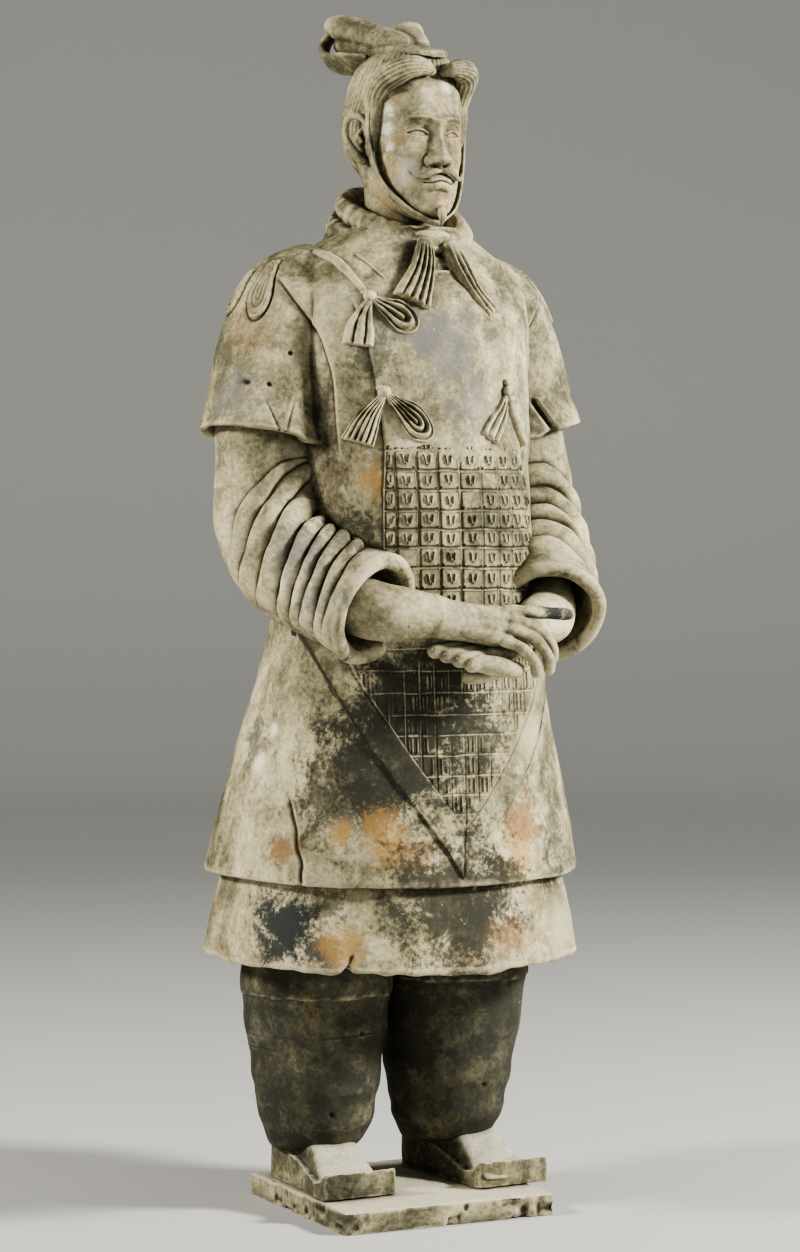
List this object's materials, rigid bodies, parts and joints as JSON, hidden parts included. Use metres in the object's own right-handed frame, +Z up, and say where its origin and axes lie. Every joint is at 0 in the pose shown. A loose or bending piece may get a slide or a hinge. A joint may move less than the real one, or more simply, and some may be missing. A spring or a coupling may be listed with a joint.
{
  "type": "tomb figurine",
  "caption": "Life-size fired-clay tomb figure of an armoured officer in a two-layer coat, standing with crossed hands on a thin square plinth",
  "frame": {"origin": "centre of the plinth's underside, on the floor", "axes": "+Z up; the figure faces -Y, with its right hand on -X and its left hand on +X"},
  "size_m": [0.6836, 0.6168, 1.9614],
  "materials": {
    "plinth": "unglazed fired clay, matt, pale and worn",
    "body": "unglazed fired clay, matt, with grey, ochre and pale stains",
    "head": "unglazed fired clay, matt, with remains of a pale ground",
    "left_hand": "unglazed fired clay, matt",
    "right_hand": "unglazed fired clay, matt"
  },
  "bodies": {
    "root": {"plinth": "plinth", "body": "body", "head": "head", "left_hand": "left_hand", "right_hand": "right_hand"}
  },
  "joints": []
}
